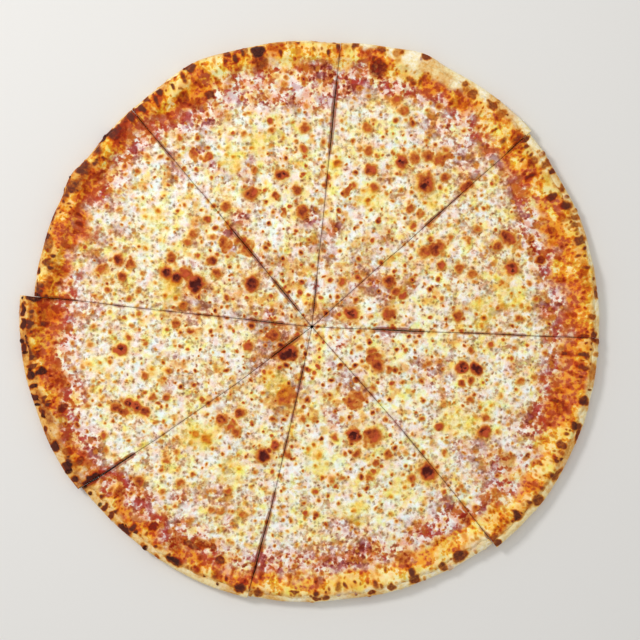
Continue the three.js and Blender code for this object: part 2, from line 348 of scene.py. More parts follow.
def round_the_rim(column, degrees):
    """A column of the table, read at any angle."""
    table = np.array(ROUND_THE_RIM)
    return np.interp(degrees, table[:, 0], table[:, column], period=360)


def baked(along, inset, charred):
    """How far bare dough has baked, 0 floury pale to 1 brown."""
    return 0.02 + 0.34 * charred**2 + 0.28 * smooth(0.35, 0.8, mottle(along, inset, 9, 0))


def slab(across, outwards):
    """A closed slab of square faces, 1 by 1 and 1 high: x is across a slice and y outwards."""
    bm = bmesh.new()
    for height in (0, 1):
        made = bmesh.ops.create_grid(bm, x_segments=across, y_segments=outwards, size=0.5)["verts"]
        bmesh.ops.translate(bm, verts=made, vec=(0.5, 0.5, height))
        if height == 0:
            under = list({face for vert in made for face in vert.link_faces})
            bmesh.ops.reverse_faces(bm, faces=under)
    bmesh.ops.bridge_loops(bm, edges=[edge for edge in bm.edges if edge.is_boundary])
    return bm


def rows_of(mesh, what):
    """The mesh's points, "co", or which way each looks, "normal"."""
    rows = np.empty(len(mesh.vertices) * 3, np.float32)
    mesh.vertices.foreach_get(what, rows)
    return rows.reshape(-1, 3)


def layer(name, number, bm, shape, finish, node):
    """Shapes a slab into a slice's layer, and makes it stand for its CAD node. shape gives the
    places of the slab's points, in mm, and what the finish reads at each."""
    mesh = bpy.data.meshes.new(name)
    bm.to_mesh(mesh)
    places, readings = shape(number, rows_of(mesh, "co").astype(float))
    limits = np.array(CAD_BOX) / METRES
    places = np.clip(places, limits[0], limits[1]) * METRES
    mesh.vertices.foreach_set("co", places.astype(np.float32).ravel())
    for reading, values in readings.items():
        attribute = mesh.attributes.new(reading, "FLOAT", "POINT")
        attribute.data.foreach_set("value", values.astype(np.float32))
    mesh.polygons.foreach_set("use_smooth", np.ones(len(mesh.polygons), bool))
    mesh.materials.append(finish)
    mesh.update()
    piece = bpy.data.objects.new(name, mesh)
    bpy.context.scene.collection.objects.link(piece)
    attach(piece, "root")
    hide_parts(node)


def shape_dough(number, slab_points):
    """The rows of the top go from the tip in to the crest and round to the edge, those of the
    underside along the flat bottom and up to the edge."""
    across, row, is_top = slab_points.T
    is_top = is_top > 0.5
    rolling = np.clip((row - ROLL_FROM) / (1 - ROLL_FROM), 0, 1)
    turn = np.pi / 2 * np.where(is_top, 1 - rolling, rolling - 1)
    rolled = RIM_CREST * (1 - np.cos(turn))
    tip = PIZZA_RADIUS - TIP_CLEARANCE
    top_inset = np.interp(row, [0, HIDDEN_ROWS, ROLL_FROM], [tip, RIM_INNER_END - 2, RIM_CREST])
    under_inset = np.interp(row, [0, ROLL_FROM], [tip, RIM_CREST])
    on_rim = row > ROLL_FROM
    inset = np.where(on_rim, rolled, np.where(is_top, top_inset, under_inset))
    distance = reach_at(number, across, inset)
    x, y = spread_out(number, across, distance).T
    inset, degrees = inset_of(number, x, y)
    flat_height = np.where(is_top, dough_top(inset), 0)
    height = np.where(on_rim, RIM_HEIGHT / 2 * (1 + np.sin(turn)), flat_height)
    height = height * rim_rise(inset, degrees)

    # bubbles and lumps of the rim
    along = np.radians(degrees) * PIZZA_RADIUS
    round_edge = np.where(is_top, inset, -inset)
    warp = 1.6 * (mottle(along, round_edge, 7, 1) - 0.5)
    bubble, tone = spots(along + warp, 0.6 * round_edge + warp, 6.5, 2, 0.75)
    small, small_tone = spots(along - warp, 0.8 * round_edge, 3.4, 5, 0.6)
    puffed = smooth(30, 16, inset) * np.where(is_top, 1, smooth(0.6, 1, row))
    lump = 0.9 * smooth(0, 0.6, bubble) * tone + 0.35 * smooth(0, 0.5, small) * small_tone
    lump = lump + 0.8 * mottle(along, round_edge, 13, 4) - 1.3
    lump = lump * puffed
    x = x + lump * np.cos(turn) * np.cos(np.radians(degrees)) * on_rim
    y = y + lump * np.cos(turn) * np.sin(np.radians(degrees)) * on_rim
    height = height + lump * np.where(on_rim, np.sin(turn), is_top)
    height = held_under(DOUGH_CEILING, np.where(is_top | on_rim, np.maximum(height, 0), 0))

    # how it baked: the crest, the edge beside the cheese, and spots from the oven's floor
    charred = round_the_rim(CHARRED, degrees)
    on_top = np.where(is_top, 1, smooth(0.6, 1, row))
    char_spot = 0.8 * smooth(0.0, 0.7, bubble) * smooth(1.3 - charred, 1.6 - charred, tone + 0.2)
    beside_cheese = smooth(-3.5, 2.5, inset - round_the_rim(BARE, degrees)) * is_top
    bake = baked(along, round_edge, charred) + 0.1 * beside_cheese
    bake = bake + 0.5 * smooth(0.1, 0.6, bubble) * smooth(0.3, 0.75, tone)
    marks = marked(x, y, RIM_MARKS) * smooth(0.2, 0.85, height / RIM_HEIGHT) * on_top
    stone, stone_tone = spots(x + 2 * warp, y - 2 * warp, 11, 3, 0.7)
    underside = 0.2 + 0.35 * mottle(x, y, 17, 5) + 0.55 * smooth(0.05, 0.6, stone) * stone_tone
    bake = bake * on_top + underside * (1 - on_top)
    char_spot = np.maximum(char_spot, 0.8 * smooth(0.86, 1.0, marks))
    char_spot = char_spot * on_top + smooth(0.25, 0.7, stone) * smooth(0.7, 0.95, stone_tone) * (1 - on_top)
    return np.stack([x, y, height], -1), {"bake": bake, "char": char_spot, "singed": marks}


def paint(red, green, blue):
    """A colour as it is seen, 0 to 255, for a shader's socket."""
    seen = np.array([red, green, blue]) / 255
    linear = np.where(seen <= 0.04045, seen / 12.92, ((seen + 0.055) / 1.055) ** 2.4)
    return (*linear, 1.0)


def add(tree, kind, inputs, **settings):
    """Adds a node. An input's value is a number, a colour or another node's output."""
    node = tree.nodes.new("ShaderNode" + kind)
    for name, value in settings.items():
        setattr(node, name, value)
    for name, value in inputs.items():
        if isinstance(value, bpy.types.NodeSocket):
            tree.links.new(value, node.inputs[name])
        else:
            node.inputs[name].default_value = value
    return node


def reading(tree, name):
    return add(tree, "Attribute", {}, attribute_name=name).outputs["Fac"]


def grain(tree, size, detail=2.0, roughness=0.5):
    """Noise of about that size in mm, 0 to 1."""
    place = add(tree, "TexCoord", {}).outputs["Object"]
    inputs = {"Vector": place, "Scale": 1 / (size * METRES), "Detail": detail, "Roughness": roughness}
    return add(tree, "TexNoise", inputs).outputs["Fac"]


def spread(tree, value, low, high, least, most, **settings):
    """A value between low and high, spread out between least and most."""
    inputs = {"Value": value, "From Min": low, "From Max": high, "To Min": least, "To Max": most}
    return add(tree, "MapRange", inputs, **settings).outputs["Result"]


def between(tree, value, low, high, most=1.0):
    """0 below low, most above high, and a smooth step between."""
    return spread(tree, value, low, high, 0.0, most, interpolation_type="SMOOTHSTEP")


def work_out(tree, operation, first, second):
    """A sum or product, held between 0 and 1."""
    node = add(tree, "Math", {0: first, 1: second}, operation=operation, use_clamp=True)
    return node.outputs["Value"]


def times(tree, first, second):
    return work_out(tree, "MULTIPLY", first, second)


def total(tree, first, second):
    """A sum that may go past 1."""
    return add(tree, "Math", {0: first, 1: second}, operation="ADD").outputs[0]


def over(tree, share, under, top, way="MIX"):
    """A colour laid over another."""
    inputs = {0: share, 6: under, 7: top}
    return add(tree, "Mix", inputs, data_type="RGBA", blend_type=way).outputs[2]


def stained(tree, colour, stain):
    """A colour seen through a thin stain of another."""
    return over(tree, 1.0, colour, stain, "MULTIPLY")


def by_heat(tree, heat, colours):
    """A colour that follows how far a place has baked: (how far, the colour there)."""
    node = add(tree, "ValToRGB", {"Fac": heat})
    steps = node.color_ramp.elements
    steps.remove(steps[1])
    steps[0].position = colours[0][0]
    steps[0].color = paint(*colours[0][1])
    for position, colour in colours[1:]:
        steps.new(position).color = paint(*colour)
    return node.outputs["Color"]


def new_finish(name, **shader):
    """A material, its node tree and its shader, with what is the same all over set on the shader."""
    material = bpy.data.materials.new(name)
    material.use_nodes = True
    principled = material.node_tree.nodes["Principled BSDF"]
    for socket, value in shader.items():
        principled.inputs[socket.replace("_", " ")].default_value = value
    return material, material.node_tree, principled


def rough_and_bump(tree, principled, roughness, height, depth):
    bump = add(tree, "Bump", {"Height": height, "Strength": 1.0, "Distance": depth * METRES})
    tree.links.new(roughness, principled.inputs["Roughness"])
    tree.links.new(bump.outputs["Normal"], principled.inputs["Normal"])


def singed(tree, colour):
    """A colour darkened where the rim is marked by the oven."""
    uneven = spread(tree, grain(tree, 2.4, 3, 0.6), 0.3, 0.7, 0.78, 1.15)
    heat = times(tree, reading(tree, "singed"), uneven)
    steps = [
        (0.0, (255, 255, 255)),
        (0.2, (250, 228, 188)),
        (0.4, (230, 180, 112)),
        (0.6, (194, 126, 70)),
        (0.8, (150, 84, 48)),
        (1.0, (92, 50, 36)),
    ]
    browning = by_heat(tree, heat, steps)
    colour = stained(tree, colour, browning)
    return over(tree, between(tree, heat, 0.55, 0.95, 0.6), colour, paint(106, 52, 38))


def dough_colour(tree):
    """Dough from floury pale to brown, as it baked, with charred spots."""
    heat = work_out(tree, "ADD", reading(tree, "bake"), between(tree, grain(tree, 2.2, 4), 0.35, 0.75, 0.2))
    steps = [
        (0.0, (254, 246, 224)),
        (0.14, (248, 228, 170)),
        (0.48, (226, 166, 80)),
        (0.75, (172, 96, 42)),
        (1.0, (108, 54, 32)),
    ]
    colour = by_heat(tree, heat, steps)
    flour = between(tree, grain(tree, 14, 5, 0.65), 0.5, 0.68, 0.4)
    colour = over(tree, flour, colour, paint(253, 247, 230))
    char = times(tree, reading(tree, "char"), between(tree, grain(tree, 1.4, 3), 0.2, 0.5))
    return over(tree, between(tree, char, 0.15, 0.75, 0.9), colour, paint(50, 20, 16))


baked_dough, tree, shader = new_finish("baked_dough", Specular_IOR_Level=0.1)
tree.links.new(singed(tree, dough_colour(tree)), shader.inputs["Base Color"])
crumb = total(tree, grain(tree, 1.1, 5, 0.6), grain(tree, 4, 2))
rough = spread(tree, grain(tree, 3), 0.0, 1.0, 0.62, 0.95)
rough_and_bump(tree, shader, rough, crumb, 0.35)

for number in range(8):
    node = f"slice_{number + 1}_crust"
    blank = slab(DOUGH_ACROSS, DOUGH_ROWS)
    layer(f"dough_{number + 1}", number, blank, shape_dough, baked_dough, node)

# ---- the sauce ----
# A thin coat of cooked tomato sauce, spooned onto the stretched dough and spread almost to the rim,
# before the cheese went on. It shows where a cut stands open and at the edge of the cheese.

SAUCE_EDGE = 15
SAUCE_THICKNESS = 0.9
LAYER_GAP = 0.3
SAUCE_STEPS = 72


def wedge(steps, under_steps):
    """A closed wedge of small triangles, 1 long, 1 wide at its far side and 1 high: x is across the
    slice, y outwards from the tip. Its underside has fewer steps, but the same ones at its sides."""
    bm = bmesh.new()
    for height, count in ((1, steps), (0, under_steps)):
        corners = [bm.verts.new(corner) for corner in ((0.5, 0, height), (1, 1, height), (0, 1, height))]
        face = bm.faces.new(corners if height else corners[::-1])
        made = bmesh.ops.subdivide_edges(bm, edges=face.edges[:], cuts=count - 1, use_grid_fill=True)
        if count < steps:
            edges = [part for part in made["geom"] if isinstance(part, bmesh.types.BMEdge)]
            sides = [edge for edge in edges if edge.is_boundary]
            bmesh.ops.subdivide_edges(bm, edges=sides, cuts=steps // count - 1)
    bmesh.ops.bridge_loops(bm, edges=[edge for edge in bm.edges if edge.is_boundary])
    return bm


def wedge_shares(points):
    """A wedge's points as shares across the slice and outwards, and whether each is on top."""
    outwards = points[:, 1]
    across = 0.5 + (points[:, 0] - 0.5) / np.maximum(outwards, 1e-6)
    return np.clip(across, 0, 1), outwards, points[:, 2] > 0.5


def wedge_places(number, across, outwards, edge):
    """Where a wedge's points lie, from a slice's tip out to an inset: x, y, inset, angle, and the
    distance from where the cuts cross. The tip is a little out from there, as the cuts are wide."""
    tip = 1.4 * CLOSED_CUT / np.sin(np.radians(span_of(number)[1] / 2))
    distance = tip + outwards * (reach_at(number, across, edge) - tip)
    x, y = spread_out(number, across, distance).T
    return x, y, *inset_of(number, x, y), distance


def shape_sauce(number, points):
    across, outwards, is_top = wedge_shares(points)
    x, y, inset, degrees, _ = wedge_places(number, across, outwards, SAUCE_EDGE)
    height = dough_top(inset) + LAYER_GAP + np.where(is_top, SAUCE_THICKNESS, 0)
    return np.stack([x, y, height * rim_rise(inset, degrees)], -1), {}


tomato_sauce, tree, shader = new_finish("tomato_sauce", Specular_IOR_Level=0.3)
pulp = grain(tree, 1.5, 4)
colour = over(tree, between(tree, pulp, 0.35, 0.7), paint(150, 34, 14), paint(196, 66, 26))
tree.links.new(colour, shader.inputs["Base Color"])
rough_and_bump(tree, shader, spread(tree, grain(tree, 5), 0.3, 0.7, 0.28, 0.5), pulp, 0.3)

for number in range(8):
    node = f"slice_{number + 1}_sauce"
    blank = wedge(SAUCE_STEPS, SAUCE_STEPS)
    layer(f"sauce_{number + 1}", number, blank, shape_sauce, tomato_sauce, node)

# ---- the cheese ----
# Low-moisture cheese that melted into one sheet, ran up the rim and browned there. Steam raised
# blisters in it, which the oven browned, and oil pooled in yellow patches. Where it lies thin the
# sauce shows through as a red lace.

CHEESE_THICKNESS = 2.6
CHEESE_TAPER = 24
CHEESE_STEPS = 330
CHEESE_UNDER_STEPS = 66
CHEESE_WAVES = [(41, 15), (34, 80), (37, 140)]  # length, heading
CHEESE_SWELL = 0.55
CHEESE_CEILING = 13.5
CHEESE_UNDER_CEILING = 13.1
EDGE_TUCK = 0.9  # how far its edge sinks into the dough's rim
EDGE_THICKNESS = 0.8

# Single blisters that stand out: x, y, radius, and how dark the oven made it, 0 to 1.
BLISTERS = [
    (-102, 35, 4.8, 0.9), (-95, 31, 5, 1), (-88, 34, 3.6, 0.75), (-81, 27, 6.2, 1),
    (-42, 27, 5.6, 0.95), (-136, 44, 4.4, 0.8), (-134, 32, 4.2, 0.7), (-135, -20, 4.6, 0.9),
    (-129, -57, 3.8, 0.85), (-123, -60, 4.2, 0.9), (-117, -63, 4, 0.9), (-138, -60, 4.2, 0.65),
    (-15, -21, 5.6, 1), (-19, -24, 4.4, 0.95), (29, 6, 5.4, 0.8), (55, 6, 5.2, 0.7), (47, -31, 5, 0.75),
    (43, -21, 3.6, 0.6), (55, -34, 3.2, 0.55), (107, -33, 4.6, 0.9), (117, -33, 5, 1),
    (113, -42, 3.4, 0.6), (113, -21, 3.2, 0.55), (83, -29, 3, 0.5), (122, -77, 4.6, 0.85),
    (91, -74, 3.8, 0.7), (124, -67, 3.4, 0.55), (113, -54, 3.2, 0.55), (93, -59, 3.2, 0.45),
    (104, 4, 4.4, 0.65), (83, -106, 6.4, 1), (71, -111, 3.6, 0.6), (30, -80, 5.4, 0.95),
    (44, -81, 6.6, 0.72), (17, -82, 3.6, 0.6), (55, -94, 3.8, 0.6), (45, -100, 3.4, 0.6),
    (32, -93, 3.4, 0.65), (41, -109, 3.2, 0.55), (15, -112, 3.4, 0.5), (-34, -95, 5, 0.95),
    (-25, -88, 4, 0.8), (-17, -94, 3.2, 0.6), (-50, -65, 4, 0.75), (-63, -69, 4.2, 0.75),
    (-53, -78, 3.6, 0.65), (-74, -82, 4.4, 0.55), (-81, -79, 3.4, 0.5), (-45, -18, 4.4, 0.7),
    (-25, -9, 4.2, 0.68), (-48, -136, 3.8, 0.5), (-64, -134, 3.2, 0.45), (-70, -133, 3.2, 0.45),
    (-93, -113, 3.6, 0.6), (-122, -112, 4.2, 0.65), (-102, -98, 3.4, 0.55), (-59, -120, 3, 0.55),
    (-6, -68, 3.2, 0.55), (2, -68, 3, 0.5), (-130, -11, 3.4, 0.55), (-117, -38, 3.2, 0.55),
    (-101, -35, 3, 0.55), (-112, -53, 3.4, 0.6), (-102, -53, 3.2, 0.6), (-105, -42, 3, 0.4),
    (-71, 44, 4, 0.75), (-99, 45, 4, 0.68), (-66, 34, 4, 0.65), (-148, 38, 4, 0.6),
    (-127, 40, 3.8, 0.5), (-95, -1, 3.8, 0.6), (-91, 11, 3.8, 0.65), (-84, 62, 3.8, 0.6),
    (-87, 56, 3.4, 0.55), (-74, 73, 3.6, 0.65), (-60, 82, 4.4, 0.65), (-42, 91, 5, 0.75),
    (-21, 104, 4.6, 0.85), (-5, 121, 4.2, 0.6), (-4, 137, 4.4, 0.6), (-40, 107, 3.6, 0.55),
    (-25, 89, 3.4, 0.65), (-10, 94, 4, 0.7), (-6, 78, 4.6, 0.7), (19, 112, 3.6, 0.65),
    (43, 108, 4.6, 0.72), (45, 95, 4.4, 0.68), (40, 137, 4, 0.55), (40, 121, 4.2, 0.6),
    (65, 113, 5, 0.85), (74, 116, 4.4, 0.6), (83, 117, 4.6, 0.6), (91, 115, 4.6, 0.6),
    (81, 98, 7.6, 0.72), (80, 96, 4, 0.95), (95, 103, 4, 0.65), (66, 149, 4.6, 0.55),
    (61, 157, 4.4, 0.55), (22, 29, 3.8, 0.65), (55, 29, 4.4, 0.75), (60, 22, 3.8, 0.75),
    (65, 19, 3.4, 0.7), (81, 50, 5, 0.6), (91, 54, 3.8, 0.55), (99, 59, 3.6, 0.5), (111, 57, 3.6, 0.5),
    (92, 40, 4.2, 0.65), (105, 38, 3.8, 0.6), (114, 34, 3.6, 0.55), (118, 66, 3.4, 0.5),
    (139, 60, 4.8, 0.8), (143, 38, 4.8, 0.88), (132, 53, 3.6, 0.7), (162, 43, 3.4, 0.6),
    (110, 96, 4.6, 0.75), (77, 76, 3.8, 0.55), (70, 80, 3.4, 0.65), (148, -42, 3.6, 0.5),
    (130, -132, 3.4, 0.5), (49, -134, 2.8, 0.4),
]

# Patches where blisters ran together, where oil pooled, and where the cheese lies thin over the
# sauce: x, y, radius.
SCORCHED_PATCHES = [
    (-18, -52, 10), (32, -55, 10), (-45, 52, 8), (-60, 54, 6), (-129, 41, 5), (86, 116, 5),
    (82, 100, 7), (96, 116, 5), (25, 93, 4), (-134, -62, 6), (47, -28, 8), (88, 52, 8), (-55, -74, 6),
    (40, -84, 8), (-87, 33, 8), (146, 56, 6), (-28, -12, 6), (-82, 118, 5), (-73, 117, 5), (-20, 78, 5),
]
OIL_PATCHES = [
    (-38, 126, 15), (-58, 113, 12), (-112, 72, 13), (-120, 58, 10), (-100, 22, 12), (44, 86, 12),
    (143, 18, 15), (122, 8, 14), (-110, -32, 13), (-80, -80, 19), (4, -93, 14), (-55, -105, 14),
    (105, -72, 16), (125, -60, 10), (8, -102, 13), (32, -134, 13), (-150, -32, 10), (16, 110, 11),
    (85, 84, 10), (-24, -45, 12), (60, -120, 12),
]
SAUCE_PATCHES = [
    (-80, 120, 11), (-69, 110, 10), (-50, 74, 13), (-58, 64, 10), (0, 74, 13), (16, 66, 12),
    (139, 63, 10), (143, 39, 10), (168, 8, 15), (99, 138, 13), (125, 122, 12), (134, -100, 17),
    (153, -75, 14), (96, -138, 14), (47, -159, 14), (-126, -117, 14), (-93, -124, 11), (-107, -142, 15),
    (-79, -150, 13), (-154, -82, 13), (-18, -54, 10), (33, -55, 10), (-57, 53, 9), (44, 28, 9),
    (-30, 4, 10), (6, 26, 9), (20, -16, 10),
]

# Where the sauce stains the cheese near the rim: angle, distance, half width and length, how strong.
SAUCE_STAINS = [
    (69.5, 179, 8, 3.5, 1), (79.5, 175, 5, 4, 1), (82.5, 179, 3.5, 4, 1), (92.5, 179, 7, 3.5, 1),
    (103.5, 175, 4, 3.5, 1), (139, 175, 5, 5, 1), (185, 196, 3, 4, 1), (232.5, 183, 4, 4, 1),
    (261, 179, 5, 3.5, 1), (249, 181, 4, 4, 1), (306.5, 172, 6.5, 3.5, 1), (300, 170, 8.5, 5.5, 1),
    (287, 172, 4, 3.5, 1), (350, 190, 5.5, 3, 1), (323, 168, 3.5, 4, 1), (127, 191, 3.5, 5.5, 1),
    (216, 177, 3, 11, 1), (176, 186, 3, 10, 1), (18, 164, 3.5, 3.5, 1), (33, 181, 4, 4, 1),
    (68, 184, 4, 2, 1),
]

# Where the rim stayed pale yellow, as the stains.
PALE_PLACES = [
    (24, 187, 5, 2, 0.8), (29.5, 194, 4, 4, 0.9), (50, 193, 4, 3, 0.9), (91, 191, 11, 6, 0.9),
    (105, 188, 3, 3, 0.8), (110.5, 193, 5, 7, 0.9), (119.5, 191, 8, 4, 1), (148, 191, 8, 4, 0.8),
    (193.5, 200, 2, 4, 0.9), (201.5, 191, 5, 5, 1), (213, 193, 4, 6, 1), (218.5, 189, 4, 4, 1),
    (241.5, 198, 6, 2, 1), (247, 190, 3.5, 3.5, 0.9), (277, 187, 14, 6, 0.7), (289, 192, 15, 6, 0.8),
    (266, 194, 12, 4, 0.6), (307.5, 194, 4, 7, 0.9), (311.5, 189, 7, 6, 0.9), (317.5, 187, 7, 6, 0.9),
    (327.5, 193, 8, 4, 0.9), (336.5, 197, 2.5, 4, 1), (341.5, 198, 4, 5, 0.8),
]


def near(places, x, y):
    """How near a point is to the nearest of some patches, 0 at its edge and 1 in its middle."""
    found = np.zeros_like(x)
    for at_x, at_y, radius in places:
        found = np.maximum(found, 1 - np.hypot(x - at_x, y - at_y) / radius)
    return found


def blistered(x, y):
    """How far each point has browned and how high it is puffed by the blisters, large and small."""
    warp_x = mottle(x, y, 7, 1) + 0.6 * mottle(x, y, 2.4, 2) - 0.8
    warp_y = mottle(x, y, 7, 3) + 0.6 * mottle(x, y, 2.4, 4) - 0.8
    heat, puff = np.zeros_like(x), np.zeros_like(x)
    for at_x, at_y, radius, dark in BLISTERS:
        close = (abs(x - at_x) < 2.5 * radius) & (abs(y - at_y) < 2.5 * radius)
        off_x = x[close] - at_x + 2.4 * warp_x[close]
        off_y = y[close] - at_y + 2.4 * warp_y[close]
        share = np.hypot(off_x, off_y) / radius
        profile = 0.22 * smooth(2.2, 1.1, share) + 0.78 * smooth(1.3, 0.35, share)
        heat[close] = np.maximum(heat[close], dark * profile)
        puff[close] = np.maximum(puff[close], 1.0 * smooth(1.2, 0.6, share) - 0.45 * smooth(0.6, 0.1, share))
    busy = 0.64 + 1.15 * smooth(130, 45, np.hypot(x, y)) + 0.9 * (mottle(x, y, 30, 5) - 0.5)
    for size, seed, share, smallest, largest, faint, dark, high in (
        (12.5, 1, 0.75, 0.2, 0.38, 0.35, 0.92, 0.5),
        (7.6, 2, 0.8, 0.22, 0.44, 0.22, 0.8, 0.3),
    ):
        depth, tone = spots(x + 1.9 * warp_x, y + 1.9 * warp_y, size, seed, share, smallest, largest)
        tone = np.clip(tone * busy + 0.1, 0, 1)
        heat = np.maximum(heat, (faint + (dark - faint) * tone) * smooth(0.0, 1.0, depth))
        puff = np.maximum(puff, high * smooth(0, 0.6, depth) * (1 - 0.4 * smooth(0.5, 1, depth)))
    smear = 0.55 * mottle(x, y, 8, 0) + 0.45 * mottle(x, y, 3.6, 3) + 0.12 * (busy - 1)
    heat = np.maximum(heat, 0.3 * smooth(0.6, 0.84, smear))
    scorched = near(SCORCHED_PATCHES, x + 6 * warp_x, y + 6 * warp_y)
    scorch = 0.2 + 0.35 * mottle(x, y, 6, 1) + 0.3 * mottle(x, y, 2.6, 4)
    heat = np.maximum(heat, smooth(0.0, 0.45, scorched) * scorch)
    return heat * (0.86 + 0.28 * mottle(x, y, 2, 5)), puff


def shape_cheese(number, points):
    across, outwards, is_top = wedge_shares(points)
    start, span = span_of(number)
    rough_degrees = (start + span * across) % 360
    rough_along = np.radians(rough_degrees) * PIZZA_RADIUS
    ragged = 1.6 * (mottle(rough_along, outwards, 6, 1) - 0.5)
    ragged = ragged + 1.2 * (mottle(rough_along, outwards, 2.8, 4) - 0.5)
    bare = round_the_rim(BARE, rough_degrees)
    edge = np.clip(0.75 * bare + ragged, 1.2, 6.5 + ragged)
    x, y, inset, degrees, distance = wedge_places(number, across, outwards, edge)
    along = np.radians(degrees) * PIZZA_RADIUS

    # how thick it lies, and its swells, puffs and grain
    onto_sauce = smooth(SAUCE_EDGE - 5, SAUCE_EDGE - 1, inset)
    under = dough_top(inset) + LAYER_GAP + (SAUCE_THICKNESS + LAYER_GAP) * onto_sauce
    from_edge = np.maximum(inset - edge, 0)
    thick = -EDGE_TUCK + (EDGE_TUCK + EDGE_THICKNESS) * smooth(0, 2.5, from_edge)
    thick = thick + (CHEESE_THICKNESS - EDGE_THICKNESS) * smooth(0, CHEESE_TAPER, from_edge)
    inner = smooth(SAUCE_EDGE, RIM_INNER_END, inset)
    swell = np.zeros_like(x)
    for length, way in CHEESE_WAVES:
        out = heading(way)
        swell = swell + np.sin(2 * np.pi * (x * out[0] + y * out[1]) / length)
    heat, puff = blistered(x, y)
    fine = 0.9 * mottle(x, y, 9, 2) + 0.6 * mottle(x, y, 3.2, 5) + 0.25 * mottle(x, y, 1.5, 3) - 0.85
    relief = CHEESE_SWELL * swell / len(CHEESE_WAVES) * inner
    relief = relief + puff * (0.4 + 0.6 * inner) + fine * smooth(0, 6, from_edge)

    # where it is golden, thin, red, ripe and oily
    patch = mottle(x, y, 12, 1) + 0.5 * mottle(x, y, 5, 2) - 0.75
    golden_inset = round_the_rim(GOLDEN, degrees) + 14 * patch
    lace_inset = round_the_rim(LACE, degrees) + 16 * (mottle(x, y, 18, 3) - 0.5)
    golden = smooth(golden_inset + 4, golden_inset - 5, inset)
    lace = smooth(lace_inset + 4, lace_inset - 8, inset) * (1 - golden)
    pink = 0.75 * smooth(0.56, 0.8, 0.7 * mottle(x, y, 19, 4) + 0.3 * mottle(x, y, 8, 1))
    middle = 0.6 * smooth(80, 50, np.hypot(x, y)) * smooth(0.35, 0.65, mottle(x, y, 13, 3))
    thin = np.maximum(np.maximum(lace, pink), smooth(0, 0.8, near(SAUCE_PATCHES, x, y)))
    thin = np.maximum(thin, middle)
    redness = round_the_rim(RED, degrees)
    red = smooth(13, 3, abs(inset - golden_inset - 3))
    red = red * smooth(0.5 - 0.5 * redness, 1.0 - 0.5 * redness, mottle(x, y, 15, 0))
    red = np.maximum(red, marked(x, y, SAUCE_STAINS))
    border = round_the_rim(BARE, degrees) + 5 * (mottle(along, inset, 7, 0) - 0.5)
    ripe = np.clip((golden_inset - inset) / np.maximum(golden_inset - border, 4), 0, 1)
    ripe = ripe - 0.5 * (redness - 0.35) + 1.5 * (mottle(x, y, 9, 3) - 0.5)
    ripe = ripe + 0.8 * (mottle(x, y, 24, 1) - 0.5) + 0.5 * (mottle(x, y, 4, 2) - 0.5)
    ripe = np.maximum(ripe, 0.28 - 0.3 * redness) + 0.8 * marked(x, y, PALE_PLACES)
    oil_x = x + 9 * mottle(x, y, 9, 4) - 4.5
    oil_y = y + 9 * mottle(x, y, 9, 0) - 4.5
    oil = smooth(0, 0.6, near(OIL_PATCHES, oil_x, oil_y))

    # how it baked on the rim
    warp = 2.4 * (0.7 * mottle(x, y, 6, 5) + 0.4 * mottle(x, y, 2.5, 6) - 0.55)
    finger, finger_tone = spots(along + warp, 0.5 * inset + warp, 7.2, 4, 0.9, 0.26, 0.5)
    fleck, fleck_tone = spots(along - warp, 0.8 * inset + warp, 3.8, 1, 0.75, 0.3, 0.55)
    doughy = smooth(border + 2, border - 2, inset)
    at_border = smooth(-5, 0, inset - border) * smooth(20, 5, inset - border)
    spotted = golden * (1 - doughy) + at_border * doughy
    finger_heat = smooth(0, 0.75, finger) * (0.25 + 0.75 * smooth(0.15, 0.8, finger_tone))
    rim_heat = np.maximum(finger_heat, 0.75 * smooth(0, 0.7, fleck) * fleck_tone)
    patchy = smooth(0.35, 0.8, mottle(along, inset, 12, 2))
    charred = round_the_rim(CHARRED, degrees)
    rim_heat = rim_heat * (0.75 + 0.25 * at_border) + 0.26 * patchy * (1 - doughy)
    singeing = smooth(0.3, 0.75, mottle(along, inset, 8, 5))
    rim_heat = rim_heat + charred * smooth(18, 4, inset) * (0.12 + 0.95 * singeing)
    marks = marked(x, y, RIM_MARKS)
    char = 0.8 * smooth(0.86, 1.0, marks + 0.12 * charred)
    heat = heat * (1 - 0.5 * golden) * (1 - doughy)
    dark = np.maximum(0.8 * spotted * rim_heat, marks)
    bake = baked(along, inset, charred)
    puff_rim = spotted * smooth(0, 0.8, finger) * finger_tone

    # beside the cuts, where the cutter pressed it down, and the dark red-brown margin there: partly sauce
    # dragged up by the cutter, partly painted shade of the gap between slices
    from_cut = np.minimum(across, 1 - across) * np.radians(span) * distance
    first, last = CUTS[number], CUTS[(number + 1) % 8]
    width = np.where(across < 0.5, cut_width(first, distance), cut_width(last, distance))
    opened = smooth(0.2, 0.8, width)
    cut = smooth(2.8, 0.0, from_cut) * (0.41 + 0.59 * opened)
    pressed = smooth(1.5, 0.0, from_cut) * (0.2 + 0.6 * opened) + 0.5 * thin * mottle(x, y, 4, 3)
    top = under + thick + relief + 0.6 * puff_rim - pressed
    top = np.maximum(top, under + np.minimum(thick, 0.25))
    height = np.where(is_top, top, under + np.minimum(thick, 0)) * rim_rise(inset, degrees)
    height = held_under(np.where(is_top, CHEESE_CEILING, CHEESE_UNDER_CEILING), height)
    readings = {
        "browned": heat, "golden": golden, "thin": thin, "oil": oil, "char": char, "cut": cut,
        "red": red, "doughy": doughy, "bake": bake, "ripe": ripe, "singed": dark,
    }
    return np.stack([x, y, height], -1), readings


def tinged(tree, colour, size, colours):
    """A colour seen through a thin stain, which changes from place to place."""
    return stained(tree, colour, by_heat(tree, grain(tree, size, 2, 0.7), colours))


